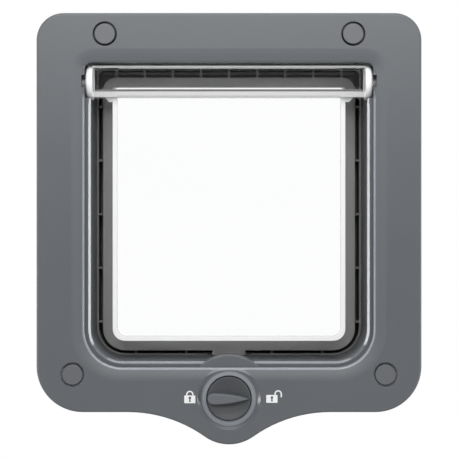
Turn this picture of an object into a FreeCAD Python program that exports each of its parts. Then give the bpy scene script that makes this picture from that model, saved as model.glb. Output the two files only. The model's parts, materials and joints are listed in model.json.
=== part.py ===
import FreeCAD, Part
import math
import os
import Sketcher
from FreeCAD import Placement, Rotation, Vector

# A cat flap for a door, in millimetres. The room side faces -Y, +X is to the right and +Z is up.
# The origin is the centre of the passage, in the plane where the inner frame bears on the door.

DIMENSIONS = {
    # how far joined pieces run into each other and cutting tools run past a face
    "overlap": 1,
    # door and passage
    "door_thickness": 36,
    "passage_width": 147.3,
    "passage_height": 160.4,
    "passage_corner": 8,
    "passage_top_corner": 2,
    # outer frame
    "ring_set_back": 20,
    "ring_width": 6,
    "ring_thickness": 2.5,
    "liner_wall": 2,
    "liner_draft": 1.9,
    "collar_gap": 3.05,
    "collar_bottom_gap": 2.3,
    "collar_top_gap": 5.1,
    "collar_wall": 1.6,
    "collar_joint": 0.3,
    "flange_side": 27.3,
    "flange_above": 27.7,
    "flange_below": 24.5,
    "flange_depth": 10,
    "flange_corner": 20,
    "flange_wall": 2.5,
    "flange_round": 2.5,
    "rib_thickness": 1.4,
    "top_rib_pitch": 17.9,
    "side_rib_pitch": 34.2,
    "bottom_rib_inner": 27.2,
    "bottom_rib_outer": 59.3,
    "tab_width": 21,
    "tab_notch_width": 28.6,
    "tab_notch_depth": 6,
    "tab_notch_height": 0.5,
    # tunnel and recess of the inner frame
    "tunnel_wall": 2,
    "tunnel_reach": 24,
    "tunnel_step": 1.05,
    "tunnel_bottom_step": 1,
    "tunnel_narrowing": 1.7,
    "ledge": 3.3,
    "ledge_back_wall": 2,
    "bead": 1.3,
    "recess_depth": 6.5,
    "recess_bottom_corner": 23.3,
    "recess_top_corner": 4.2,
    "mouth_top_corner": 3.2,
    "roll_width": 4.6,
    "roll_depth": 1.6,
    "roll_radius": 22,
    "lip_round": 1.2,
    "lip_wall": 3,
    # front plate of the inner frame
    "side_border": 29.25,
    "top_border": 30.3,
    "bottom_border": 27.3,
    "plate_depth": 12,
    "plate_top_corner": 16.5,
    "plate_bottom_corner": 28.2,
    "plate_edge_round": 1.5,
    "face_wall": 2.6,
    "side_wall": 2.4,
    "bulge_half_width": 62.1,
    "bulge_radius": 25.7,
    "stiffener_set_back": 0.5,
    # hinge
    "hinge_lift": 1,
    "bar_radius": 10.8,
    "bar_wall": 1.8,
    "bar_crest": 10.2,
    "bar_front": 3.4,
    "bar_back": 6.8,
    "bar_top_gap": 0.6,
    "bar_end_gap": 0.45,
    "bar_clearance": 0.4,
    "end_disc": 4.3,
    "end_disc_round": 3,
    "pin_radius": 3,
    "pin_length": 2.2,
    "pin_clearance": 0.06,
    "pin_end_room": 0.08,
    "socket_slot": 5.3,
    "socket_mouth": 7.5,
    "socket_wall": 2.2,
    # flap
    "flap_side_gap": 1.65,
    "flap_bottom_gap": 1.6,
    "flap_thickness": 2.5,
    "flap_corner": 7.2,
    "flap_set_back": 0.9,
    "rim_width": 2.7,
    "rim_thickness": 4,
    "web_drop": 7.55,
    "web_thickness": 3.3,
    "web_front": 4.9,
    "gusset_width": 5,
    "gusset_drop": 2.7,
    # fixing screws and their caps
    "top_screw_side_inset": 41.9,
    "top_screw_inset": 12.8,
    "bottom_screw_side_inset": 22.1,
    "bottom_screw_inset": 23.1,
    "screw_shank_radius": 1.95,
    "screw_head_radius": 3.9,
    "screw_head_height": 2.4,
    "screw_head_dome": 1.2,
    "screw_head_edge": 1.1,
    "screw_length": 48,
    "screw_tip": 0.4,
    "screw_end_room": 0.5,
    "screw_fit": 0.05,
    "screw_passing": 0.35,
    "head_seat": 4,
    "seat_wall": 3,
    "cap_hole_radius": 7.4,
    "cap_hole_edge": 0.3,
    "cap_radius": 6.6,
    "cap_head": 2.2,
    "cap_head_wall": 1.6,
    "cap_skirt_radius": 5.6,
    "cap_skirt_wall": 1.2,
    "cap_skirt": 2.4,
    "cap_fit": 0.05,
    "cap_round": 0.8,
    "tower_wall": 1.6,
    "boss_radius": 4.6,
    "boss_set_back": 0.6,
    # knob and lock
    "knob_below_recess": 18.8,
    "knob_margin": 28.3,
    "knob_hole_radius": 14,
    "knob_radius": 13.3,
    "knob_proud": 0.8,
    "knob_dish": 2.2,
    "knob_rim": 0.9,
    "ridge_width": 7.5,
    "ridge_proud": 4.5,
    "ridge_tip_gap": 0.1,
    "ridge_draft_angle": 4,
    "dish_radius": 19.4,
    "dish_step_radius": 17.6,
    "dish_step_depth": 1,
    "dish_depth": 1.6,
    "hub_radius": 8,
    "drive_square": 6,
    "disc_radius": 22,
    "disc_front": 6.6,
    "disc_thickness": 2.4,
    "disc_fit": 0.08,
    "well_wall": 2,
    "groove_depth": 1.4,
    "follower_radius": 1.5,
    "follower_wall": 0.8,
    "groove_clearance": 0.1,
    "follower_low": 6.9,
    "bolt_rest_gap": 8.8,
    "bolt_overlap": 3.5,
    "bolt_width": 16,
    "bolt_thickness": 1.6,
    "prong_length": 4,
    "bridge": 2,
    "fork_clearance": 0.3,
    "slot_clearance": 0.3,
    "hood_cover": 0.6,
    "hood_front": 8.2,
    "hood_back": 6.5,
    "hood_foot": 0.1,
    "hood_round": 0.8,
    "cover_width": 63,
    "cover_thickness": 1.7,
    "cover_back": 0.3,
    "cover_radius": 24,
    "cover_top_gap": 1.5,
    "cover_below_knob": 11.2,
    "rail_width": 2,
    "cover_screw_top_side_inset": 4.5,
    "cover_screw_bottom_side_inset": 3.5,
    "cover_screw_inset": 5,
    "cover_boss_radius": 3.2,
    "small_screw_radius": 1.2,
    "small_screw_tip": 0.24,
    "cover_screw_head": 2.4,
    "cover_screw_length": 7.6,
    "small_fit": 0.05,
    "washer_radius": 4.2,
    "washer_thickness": 0.5,
    "knob_screw_head": 3,
    "knob_screw_dome": 0.9,
    "knob_screw_head_height": 1.3,
    "knob_screw_length": 5.2,
}

doc = FreeCAD.newDocument("cat_flap")
sheet = doc.addObject("Spreadsheet::Sheet", "dims")
sheet.Label = "driving dimensions"


class Size:
    """A number that keeps the formula of sheet cells it was worked out from."""

    def __init__(self, number, formula):
        self.number = float(number)
        self.formula = formula

    def __float__(self):
        return self.number

    def __neg__(self):
        return 0 - self

    def __add__(self, other):
        return joined(self, "+", other)

    def __radd__(self, other):
        return joined(other, "+", self)

    def __sub__(self, other):
        return joined(self, "-", other)

    def __rsub__(self, other):
        return joined(other, "-", self)

    def __mul__(self, other):
        return joined(self, "*", other)

    def __rmul__(self, other):
        return joined(other, "*", self)

    def __truediv__(self, other):
        return joined(self, "/", other)


def joined(left, sign, right):
    a, b = float(left), float(right)
    number = {"+": a + b, "-": a - b, "*": a * b, "/": a / b if b else 0}[sign]
    texts = [side.formula if isinstance(side, Size) else repr(side) for side in (left, right)]
    return Size(number, f"({texts[0]} {sign} {texts[1]})")


class Sizes:
    """The cells of the sheet by name."""


dim = Sizes()
for row, (alias, value) in enumerate(DIMENSIONS.items(), 1):
    sheet.set(f"A{row}", alias.replace("_", " "))
    sheet.set(f"B{row}", str(value))
    sheet.setAlias(f"B{row}", alias)
    setattr(dim, alias, Size(value, f"dims.{alias}"))
doc.recompute()

# Places that several pieces share, worked out from the passage outwards
PASSAGE_HALF = dim.passage_width / 2
PASSAGE_TOP = dim.passage_height / 2
RING_FRONT = dim.ring_set_back
RING_HALF = PASSAGE_HALF + dim.ring_width
RING_TOP = PASSAGE_TOP + dim.ring_width
COLLAR_HALF = RING_HALF + dim.collar_gap
COLLAR_TOP = RING_TOP + dim.collar_top_gap
COLLAR_BOTTOM = RING_TOP + dim.collar_bottom_gap
FLANGE_HALF = COLLAR_HALF + dim.flange_side
FLANGE_TOP = COLLAR_TOP + dim.flange_above
FLANGE_BOTTOM = COLLAR_BOTTOM + dim.flange_below
FLANGE_BACK = dim.door_thickness + dim.flange_depth
MOUTH_HALF = COLLAR_HALF + dim.tunnel_step + dim.tunnel_narrowing
MOUTH_BOTTOM = COLLAR_BOTTOM + dim.tunnel_bottom_step + dim.tunnel_narrowing
MOUTH_CORNER = dim.recess_bottom_corner - dim.ledge
RECESS_HALF = MOUTH_HALF + dim.ledge
RECESS_BOTTOM = MOUTH_BOTTOM + dim.ledge
HINGE_HEIGHT = PASSAGE_TOP + dim.hinge_lift
HINGE_AXIS = (0, HINGE_HEIGHT)
RECESS_TOP = HINGE_HEIGHT + dim.bar_radius + dim.bar_top_gap
BAR_HALF = RECESS_HALF - dim.bar_end_gap
WEB_TOP = HINGE_HEIGHT - dim.web_drop + dim.web_thickness / 2
PLATE_HALF = RECESS_HALF + dim.side_border
PLATE_TOP = RECESS_TOP + dim.top_border
PLATE_BOTTOM = RECESS_BOTTOM + dim.bottom_border
FACE = -dim.plate_depth
RECESS_FLOOR = FACE + dim.recess_depth
FACE_BACK = FACE + dim.face_wall
FLAP_HALF = PASSAGE_HALF - dim.flap_side_gap
FLAP_BOTTOM = PASSAGE_TOP - dim.flap_bottom_gap
FLAP_BACK = dim.flap_set_back + dim.rim_thickness / 2
KNOB_DROP = RECESS_BOTTOM + dim.knob_below_recess
KNOB_AXIS = (0, -KNOB_DROP)
BULGE_TIP = KNOB_DROP + dim.knob_margin
DISC_BACK = dim.disc_thickness - dim.disc_front
DISC_WELL = dim.disc_radius + dim.disc_fit
BOLT_FRONT = DISC_BACK + dim.slot_clearance
BOLT_TOP = FLAP_BOTTOM + dim.bolt_rest_gap
BOLT_TRAVEL = dim.bolt_rest_gap + dim.bolt_overlap
FORK_BACK_PRONG = FLAP_BACK + dim.fork_clearance
HOOD_RADIUS = KNOB_DROP - BOLT_TOP + dim.hood_cover
COVER_BACK = -dim.cover_back
COVER_FRONT = COVER_BACK - dim.cover_thickness
COVER_HALF = dim.cover_width / 2
COVER_TOP = RECESS_BOTTOM + dim.cover_top_gap
COVER_BOTTOM = KNOB_DROP + dim.cover_below_knob
KNOB_SCREW_SEAT = DISC_BACK + dim.washer_thickness
SMALL_BORE = dim.small_screw_radius + dim.small_fit
TOP_SCREW_SIDE = PLATE_HALF - dim.top_screw_side_inset
TOP_SCREW_HEIGHT = PLATE_TOP - dim.top_screw_inset
BOTTOM_SCREW_SIDE = PLATE_HALF - dim.bottom_screw_side_inset
BOTTOM_SCREW_HEIGHT = dim.bottom_screw_inset - PLATE_BOTTOM
SCREW_PLACES = [
    (-TOP_SCREW_SIDE, TOP_SCREW_HEIGHT), (TOP_SCREW_SIDE, TOP_SCREW_HEIGHT),
    (-BOTTOM_SCREW_SIDE, BOTTOM_SCREW_HEIGHT), (BOTTOM_SCREW_SIDE, BOTTOM_SCREW_HEIGHT),
]
UPPER_COVER_SIDE = COVER_HALF - dim.cover_screw_top_side_inset
UPPER_COVER_HEIGHT = -COVER_TOP - dim.cover_screw_inset
LOWER_COVER_SIDE = COVER_HALF - dim.cover_screw_bottom_side_inset
LOWER_COVER_HEIGHT = dim.cover_screw_inset - COVER_BOTTOM
COVER_SCREW_PLACES = [
    (-UPPER_COVER_SIDE, UPPER_COVER_HEIGHT), (UPPER_COVER_SIDE, UPPER_COVER_HEIGHT),
    (-LOWER_COVER_SIDE, LOWER_COVER_HEIGHT), (LOWER_COVER_SIDE, LOWER_COVER_HEIGHT),
]
SIDES = {"left": -1, "right": 1}

ALONG_Y = Rotation(Vector(1, 0, 0), -90)
ALONG_X = Rotation(Vector(0, 1, 0), 90)
UPRIGHT = Rotation(Vector(1, 0, 0), 90)

# The points of a sketch edge are known by their places in this list
POINTS = ["edge", "start", "end", "centre"]
START, END, CENTRE = (POINTS.index(word) for word in ("start", "end", "centre"))
ORIGIN = (-START, START)


def bind(thing, prop, size):
    """Tie one property of an object to the sheet."""
    if isinstance(size, Size):
        thing.setExpression(prop, size.formula)
    else:
        thing.setExpression(prop, repr(float(size)))


def put(thing, at, rotation=None):
    thing.Placement = Placement(Vector(*[float(v) for v in at]), rotation or Rotation())
    for axis, value in zip("xyz", at):
        if isinstance(value, Size):
            thing.setExpression(f"Placement.Base.{axis}", value.formula)
    return thing


def box(name, x, y, z):
    """A block given by its low and high ends along each axis."""
    block = doc.addObject("Part::Box", name)
    for prop, ends in (("Length", x), ("Width", y), ("Height", z)):
        bind(block, prop, ends[1] - ends[0])
    return put(block, (x[0], y[0], z[0]))


def rod(name, radius, y, at=(0, 0)):
    """A round bar along Y at an x and z."""
    bar = doc.addObject("Part::Cylinder", name)
    bind(bar, "Radius", radius)
    bind(bar, "Height", y[1] - y[0])
    return put(bar, (at[0], y[0], at[1]), ALONG_Y)


def axle(name, radius, x, at):
    """A round bar along X at a y and z."""
    bar = doc.addObject("Part::Cylinder", name)
    bind(bar, "Radius", radius)
    bind(bar, "Height", x[1] - x[0])
    return put(bar, (x[0], at[0], at[1]), ALONG_X)


def span(side, near, far):
    """A length along X to the right of the middle, or its mirror image to the left."""
    return (near, far) if side > 0 else (-far, -near)


def fused(name, pieces):
    union = doc.addObject("Part::MultiFuse", name)
    union.Shapes = pieces
    union.Refine = True
    return union


def cut(name, base, tools):
    tool = tools[0] if len(tools) == 1 else fused(name + "_tools", tools)
    rest = doc.addObject("Part::Cut", name)
    rest.Base = base
    rest.Tool = tool
    rest.Refine = True
    return rest


def common(name, first, second):
    both = doc.addObject("Part::Common", name)
    both.Base = first
    both.Tool = second
    return both


def loft(name, first, second):
    body = doc.addObject("Part::Loft", name)
    body.Sections = [first, second]
    body.Solid = True
    body.Ruled = True
    return body


def extrusion(name, sketch, length):
    solid = doc.addObject("Part::Extrusion", name)
    solid.Base = sketch
    solid.DirMode = "Custom"
    solid.Dir = Vector(0, 1, 0)
    solid.Solid = True
    bind(solid, "LengthFwd", length)
    return solid


def picked(base, edges):
    """The numbers of the edges of a shape that a test picks."""
    doc.recompute()
    return [i for i, edge in enumerate(base.Shape.Edges, 1) if edges(edge)]


def trimmed(kind, name, base, edges, size):
    """A fillet or chamfer on the picked edges of a solid."""
    made = doc.addObject("Part::" + kind, name)
    made.Base = base
    made.Edges = [(i, float(size), float(size)) for i in picked(base, edges)]
    return made


def new_body(name):
    return doc.addObject("PartDesign::Body", name)


def base_plane(body, role):
    return next(part for part in body.Origin.OriginFeatures if part.Role == role)


def body_sketch(body, name, role="XZ_Plane", offset=None):
    """A sketch on one of the body's own planes; on XZ its normal points to -Y."""
    sketch = body.newObject("Sketcher::SketchObject", name)
    sketch.AttachmentSupport = [(base_plane(body, role), "")]
    sketch.MapMode = "FlatFace"
    if offset is not None:
        bind(sketch, "AttachmentOffset.Base.z", offset)
    return sketch


def free_sketch(name, y):
    """A sketch that stands upright at a depth y."""
    return put(doc.addObject("Sketcher::SketchObject", name), (0, y, 0), UPRIGHT)


def feature(body, kind, name, sketch, length, reverse=False):
    made = body.newObject("PartDesign::" + kind, name)
    made.Profile = (sketch, [""])
    bind(made, "Length", length)
    made.Reversed = reverse
    return made


def dress(body, kind, name, base, edges, size):
    """A fillet or chamfer on the picked edges of a body's last feature."""
    numbers = picked(base, edges)
    made = body.newObject("PartDesign::" + kind, name)
    made.Base = (base, [f"Edge{i}" for i in numbers])
    bind(made, "Radius" if kind == "Fillet" else "Size", size)
    return made


def segment(x0, y0, x1, y1):
    return Part.LineSegment(Vector(x0, y0, 0), Vector(x1, y1, 0))


def arc(x, y, radius, start, end):
    circle = Part.Circle(Vector(x, y, 0), Vector(0, 0, 1), radius)
    return Part.ArcOfCircle(circle, math.radians(start), math.radians(end))


def constrain(sketch, name, kind, *items):
    """Add a sketch constraint whose last item is a size from the sheet."""
    *where, size = items
    sketch.addConstraint(Sketcher.Constraint(kind, *where, float(size)))
    sketch.renameConstraint(sketch.ConstraintCount - 1, name)
    if isinstance(size, Size):
        sketch.setExpression("Constraints." + name, size.formula)


def rounded(sketch, half_width, bottom, top, bottom_radius, top_radius):
    """A rectangle, even about the upright axis, with round corners."""
    w, b, t = float(half_width), float(bottom), float(top)
    rb, rt = float(bottom_radius), float(top_radius)
    sketch.addGeometry([
        segment(rb - w, b, w - rb, b),
        arc(w - rb, b + rb, rb, -90, 0),
        segment(w, b + rb, w, t - rt),
        arc(w - rt, t - rt, rt, 0, 90),
        segment(w - rt, t, rt - w, t),
        arc(rt - w, t - rt, rt, 90, 180),
        segment(-w, t - rt, -w, b + rb),
        arc(rb - w, b + rb, rb, 180, 270),
    ])
    for i in range(8):
        sketch.addConstraint(Sketcher.Constraint("Tangent", i, END, (i + 1) % 8, START))
    for i, kind in ((0, "Horizontal"), (2, "Vertical"), (4, "Horizontal"), (6, "Vertical")):
        sketch.addConstraint(Sketcher.Constraint(kind, i))
    sketch.addConstraint(Sketcher.Constraint("Equal", 1, 7))
    sketch.addConstraint(Sketcher.Constraint("Equal", 3, 5))
    constrain(sketch, "bottom_radius", "Radius", 1, bottom_radius)
    constrain(sketch, "top_radius", "Radius", 3, top_radius)
    constrain(sketch, "right", "DistanceX", *ORIGIN, 2, START, half_width)
    constrain(sketch, "left", "DistanceX", 6, START, *ORIGIN, half_width)
    constrain(sketch, "bottom", "DistanceY", *ORIGIN, 0, START, bottom)
    constrain(sketch, "top", "DistanceY", *ORIGIN, 4, START, top)
    return sketch


def polygon(sketch, points):
    """A closed outline of straight lines through corners given by sizes."""
    flat = [(float(x), float(y)) for x, y in points]
    count = len(points)
    for i in range(count):
        sketch.addGeometry(segment(*flat[i], *flat[(i + 1) % count]))
    for i in range(count):
        sketch.addConstraint(Sketcher.Constraint("Coincident", i, END, (i + 1) % count, START))
    for i, (x, y) in enumerate(points):
        constrain(sketch, f"across_{i}", "DistanceX", *ORIGIN, i, START, x)
        constrain(sketch, f"up_{i}", "DistanceY", *ORIGIN, i, START, y)
    return sketch


def plate_outline(sketch, inset):
    """The front plate's outline, drawn in by an inset: below, two flares run into the bulge."""
    half_width = PLATE_HALF - inset
    top = PLATE_TOP - inset
    bottom = inset - PLATE_BOTTOM
    top_radius = dim.plate_top_corner - inset
    bottom_radius = dim.plate_bottom_corner - inset
    bulge = dim.bulge_radius - inset
    bulge_centre = dim.bulge_radius - BULGE_TIP
    w, t, b, rt, rb = (float(v) for v in (half_width, top, bottom, top_radius, bottom_radius))
    rg, xf, zg = (float(v) for v in (bulge, dim.bulge_half_width, bulge_centre))
    # each flare touches the straight edge at the bulge's half width and then the bulge's round
    turn = 2 * math.atan2(float(BULGE_TIP - PLATE_BOTTOM), xf)
    rf = xf / math.sin(turn) - rg
    lean = math.degrees(turn)
    sketch.addGeometry([
        segment(xf, b, w - rb, b),
        arc(w - rb, b + rb, rb, -90, 0),
        segment(w, b + rb, w, t - rt),
        arc(w - rt, t - rt, rt, 0, 90),
        segment(w - rt, t, rt - w, t),
        arc(rt - w, t - rt, rt, 90, 180),
        segment(-w, t - rt, -w, b + rb),
        arc(rb - w, b + rb, rb, 180, 270),
        segment(rb - w, b, -xf, b),
        arc(-xf, b - rf, rf, 90 - lean, 90),
        arc(0, zg, rg, 270 - lean, 270 + lean),
        arc(xf, b - rf, rf, 90, 90 + lean),
    ])
    flipped = {9, 11}
    for i in range(12):
        after = (i + 1) % 12
        ends = (START if i in flipped else END, END if after in flipped else START)
        sketch.addConstraint(Sketcher.Constraint("Tangent", i, ends[0], after, ends[1]))
    for i in (0, 4, 8):
        sketch.addConstraint(Sketcher.Constraint("Horizontal", i))
    for i in (2, 6):
        sketch.addConstraint(Sketcher.Constraint("Vertical", i))
    for pair in ((1, 7), (3, 5), (9, 11)):
        sketch.addConstraint(Sketcher.Constraint("Equal", *pair))
    constrain(sketch, "bottom_radius", "Radius", 1, bottom_radius)
    constrain(sketch, "top_radius", "Radius", 3, top_radius)
    constrain(sketch, "bulge", "Radius", 10, bulge)
    constrain(sketch, "right", "DistanceX", *ORIGIN, 2, START, half_width)
    constrain(sketch, "left", "DistanceX", 6, START, *ORIGIN, half_width)
    constrain(sketch, "top", "DistanceY", *ORIGIN, 4, START, top)
    constrain(sketch, "bottom", "DistanceY", *ORIGIN, 0, START, bottom)
    constrain(sketch, "flare_right", "DistanceX", *ORIGIN, 0, START, dim.bulge_half_width)
    constrain(sketch, "flare_left", "DistanceX", 8, END, *ORIGIN, dim.bulge_half_width)
    constrain(sketch, "bulge_z", "DistanceY", *ORIGIN, 10, CENTRE, bulge_centre)
    return sketch


def on_face(y):
    """A test for edges that lie in the plane at a depth y."""
    depth = float(y)
    return lambda edge: all(abs(v.Point.y - depth) < 0.01 for v in edge.Vertexes)


def within(half_width, bottom, top):
    """A test for edges inside a half width and between two heights, with some room round them."""
    room = float(dim.overlap) / 2

    def test(edge):
        around = edge.BoundBox
        return (max(-around.XMin, around.XMax) < float(half_width) + room
                and around.ZMin > float(bottom) - room and around.ZMax < float(top) + room)
    return test


def turned(label, profile, place, edge_round=None):
    """A turned piece on a Y axis: its profile gives distance along Y and radius."""
    body = new_body(label)
    sketch = polygon(body_sketch(body, label + "_profile", "YZ_Plane"), profile)
    turning = body.newObject("PartDesign::Revolution", label + "_turning")
    turning.Profile = (sketch, [""])
    turning.ReferenceAxis = (sketch, ["H_Axis"])
    if edge_round is not None:
        dress(body, "Fillet", label + "_edge", turning, on_face(0), edge_round)
    return put(body, place)


def tunnel_section(name, y, outward, narrowing):
    """The tunnel's outline at a depth, drawn out by a wall and in by its taper."""
    return rounded(
        free_sketch(name, y),
        MOUTH_HALF + outward - narrowing,
        narrowing - MOUTH_BOTTOM - outward,
        RECESS_TOP + outward,
        MOUTH_CORNER + outward - narrowing,
        dim.mouth_top_corner + outward,
    )


def recess_outline(sketch, outward):
    """The outline of the recess, drawn out by a wall."""
    return rounded(
        sketch, RECESS_HALF + outward, -RECESS_BOTTOM - outward, RECESS_TOP + outward,
        dim.recess_bottom_corner + outward, dim.recess_top_corner + outward,
    )


def front_shell():
    """The front plate as a thick slab with its recess and the rolled-in edge."""
    body = new_body("front_shell")
    outline = plate_outline(body_sketch(body, "plate_sketch"), 0)
    plate = feature(body, "Pad", "plate", outline, dim.plate_depth)
    front = on_face(FACE)
    dress(body, "Fillet", "plate_edge", plate, front, dim.plate_edge_round)
    outline = recess_outline(body_sketch(body, "recess_sketch", offset=dim.plate_depth), 0)
    recess = feature(body, "Pocket", "recess", outline, dim.recess_depth)
    mouth = within(RECESS_HALF, -RECESS_BOTTOM, RECESS_TOP)
    roll = dress(
        body, "Chamfer", "roll", recess, lambda e: front(e) and mouth(e), dim.roll_width,
    )
    roll.ChamferType = "Two distances"
    bind(roll, "Size2", dim.roll_depth)
    doc.recompute()
    lip = on_face(FACE + dim.roll_depth)
    if not any(lip(edge) for edge in roll.Shape.Edges):
        roll.FlipDirection = True
    around = within(
        RECESS_HALF + dim.roll_width, -RECESS_BOTTOM - dim.roll_width,
        RECESS_TOP + dim.roll_width,
    )
    blend = dress(
        body, "Fillet", "roll_blend", roll, lambda e: front(e) and around(e), dim.roll_radius,
    )
    dress(body, "Fillet", "lip_edge", blend, lip, dim.lip_round)
    return body


def hollow_back():
    """What is hollow behind the face, between the side wall and the recess and tunnel."""
    outline = plate_outline(free_sketch("hollow_sketch", FACE_BACK), dim.side_wall)
    inside = extrusion("hollow_block", outline, dim.plate_depth)
    wall = extrusion(
        "hollow_wall", recess_outline(free_sketch("hollow_wall_sketch", FACE), dim.lip_wall),
        dim.recess_depth + dim.ledge_back_wall,
    )
    root = loft(
        "hollow_root", tunnel_section("root_start", RECESS_FLOOR, dim.tunnel_wall, 0),
        tunnel_section("root_end", dim.plate_depth, dim.tunnel_wall, 0),
    )
    return cut("hollow_back", inside, [wall, root])


def tunnel_loft(name, outward):
    """The tapering tunnel from the recess floor to its end, drawn out by a wall."""
    return loft(
        name, tunnel_section(name + "_start", RECESS_FLOOR, outward, 0),
        tunnel_section(name + "_end", dim.tunnel_reach, outward, dim.tunnel_narrowing),
    )


def hinge_pockets():
    """Round pockets beside the mouth that the hinge bar's end discs turn in."""
    radius = dim.bar_radius + dim.bar_clearance
    near = MOUTH_HALF - dim.recess_top_corner
    far = BAR_HALF + dim.slot_clearance
    return [
        axle(f"disc_pocket_{name}", radius, span(side, near, far), HINGE_AXIS)
        for name, side in SIDES.items()
    ]


def tunnelled_shell(pockets):
    """The front shell with its tunnel and the bevelled edge round the tunnel's mouth."""
    shell = cut("shell", front_shell(), [hollow_back()])
    walls = fused("walls", [shell, tunnel_loft("tunnel_outside", dim.tunnel_wall)])
    opened = cut("open_walls", walls, [tunnel_loft("tunnel_inside", 0)] + pockets)
    at_floor = on_face(RECESS_FLOOR)
    around = within(MOUTH_HALF, -MOUTH_BOTTOM, HINGE_HEIGHT)
    return trimmed("Chamfer", "bead", opened, lambda e: at_floor(e) and around(e), dim.bead)


def screw_towers():
    """Towers for the fixing screws' heads under their caps, and their stepped holes."""
    added, removed = [], []
    counterbore = dim.cap_skirt_radius + dim.cap_fit
    cap_floor = FACE + dim.cap_head + dim.cap_fit
    passing = dim.screw_shank_radius + dim.screw_passing
    edge = dim.cap_hole_edge + dim.overlap
    for i, (x, z) in enumerate(SCREW_PLACES, 1):
        added.append(rod(
            f"tower_{i}", counterbore + dim.tower_wall,
            (FACE_BACK - dim.overlap, dim.seat_wall - dim.head_seat), (x, z),
        ))
        removed.append(turned(f"screw_well_{i}", [
            (FACE - dim.overlap, 0), (FACE - dim.overlap, dim.cap_hole_radius + edge),
            (FACE + dim.cap_hole_edge, dim.cap_hole_radius), (cap_floor, dim.cap_hole_radius),
            (cap_floor, counterbore), (-dim.head_seat, counterbore), (-dim.head_seat, passing),
            (dim.plate_depth, passing), (dim.plate_depth, 0),
        ], (x, 0, z)))
    return added, removed


def lock_hood():
    """The round hood over the lock that stands up from the recess's lower edge."""
    depth = (-dim.hood_front, dim.hood_back)
    limits = box(
        "hood_limits", (-HOOD_RADIUS, HOOD_RADIUS), depth,
        (-RECESS_BOTTOM - dim.hood_foot, HOOD_RADIUS - KNOB_DROP + dim.overlap),
    )
    block = common("hood_block", rod("hood_round", HOOD_RADIUS, depth, KNOB_AXIS), limits)
    front = on_face(-dim.hood_front)
    foot = float(dim.hood_foot)
    return trimmed(
        "Fillet", "hood", block, lambda e: front(e) and e.BoundBox.ZLength > foot, dim.hood_round,
    )


def lock_housing():
    """Hood, well for the cam disc, opening for the knob, slot for the bolt, cover bosses."""
    wall = DISC_WELL + dim.well_wall
    inside = FACE_BACK - dim.overlap
    well_back = DISC_BACK + dim.small_fit
    well = common(
        "well", rod("well_outside", wall, (inside, well_back), KNOB_AXIS),
        box("well_limits", (-wall, wall), (inside, well_back),
            (-KNOB_DROP - wall, -RECESS_BOTTOM - dim.lip_wall / 2)),
    )
    added = [lock_hood(), well]
    disc_front = -dim.disc_front - dim.slot_clearance
    bore = common(
        "well_bore", rod("well_inside", DISC_WELL, (FACE_BACK, DISC_BACK), KNOB_AXIS),
        box("bore_limits", (-wall, wall), (FACE_BACK, DISC_BACK),
            (-KNOB_DROP - wall, -RECESS_BOTTOM - dim.lip_wall)),
    )
    spread = (dim.dish_radius - dim.dish_step_radius) / dim.dish_step_depth * dim.overlap
    opening = turned("knob_opening", [
        (FACE - dim.overlap, 0), (FACE - dim.overlap, dim.dish_radius + spread),
        (FACE + dim.dish_step_depth, dim.dish_step_radius),
        (FACE + dim.dish_depth, dim.knob_hole_radius), (0, dim.knob_hole_radius), (0, 0),
    ], (0, 0, -KNOB_DROP))
    slot = dim.bolt_width / 2 + dim.slot_clearance
    slot_back = FORK_BACK_PRONG + dim.bolt_thickness + dim.slot_clearance
    removed = [
        rod("disc_space", DISC_WELL, (disc_front, COVER_FRONT), KNOB_AXIS), bore, opening,
        box("bolt_slot", (-slot, slot), (DISC_BACK, slot_back),
            (-RECESS_BOTTOM - dim.tunnel_wall, HOOD_RADIUS - KNOB_DROP + dim.overlap)),
    ]
    for i, place in enumerate(COVER_SCREW_PLACES, 1):
        added.append(rod(f"cover_boss_{i}", dim.cover_boss_radius, (inside, COVER_FRONT), place))
        removed.append(rod(f"cover_pilot_{i}", SMALL_BORE, (FACE_BACK, 0), place))
    return added, removed


def hinge_sockets():
    """A boss each side for the flap's pins, with a bore and a snap-in slot from the front."""
    added, removed = [], []
    pin_end = BAR_HALF + dim.pin_length + dim.pin_end_room
    radius = dim.bar_radius + dim.bar_clearance + dim.socket_wall
    height = (HINGE_HEIGHT - radius, HINGE_HEIGHT + radius)
    for name, side in SIDES.items():
        across = span(side, MOUTH_HALF + dim.overlap, pin_end + dim.socket_wall)
        added.append(common(
            f"socket_back_{name}", axle(f"socket_round_{name}", radius, across, HINGE_AXIS),
            box(f"socket_limits_{name}", across, (0, radius), height),
        ))
        added.append(box(
            f"socket_front_{name}", across, (RECESS_FLOOR, dim.tunnel_wall), height,
        ))
        bore = span(side, BAR_HALF, pin_end)
        removed.append(axle(
            f"pin_bore_{name}", dim.pin_radius + dim.pin_clearance, bore, HINGE_AXIS,
        ))
        for kind, width, end in (
            ("slot", dim.socket_slot, 0), ("mouth", dim.socket_mouth, RECESS_FLOOR),
        ):
            removed.append(box(
                f"pin_{kind}_{name}", bore, (FACE - dim.overlap, end),
                (HINGE_HEIGHT - width / 2, HINGE_HEIGHT + width / 2),
            ))
    return added, removed


def stiffener(name, side, level):
    """One rib between the side wall and the recess wall."""
    near = RECESS_HALF + dim.lip_wall - dim.overlap
    far = PLATE_HALF - dim.side_wall + dim.overlap
    middle = dim.side_rib_pitch * level
    return box(
        f"stiffener_{name}_{level + 2}", span(side, near, far),
        (FACE_BACK - dim.overlap, -dim.stiffener_set_back),
        (middle - dim.rib_thickness / 2, middle + dim.rib_thickness / 2),
    )


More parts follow.
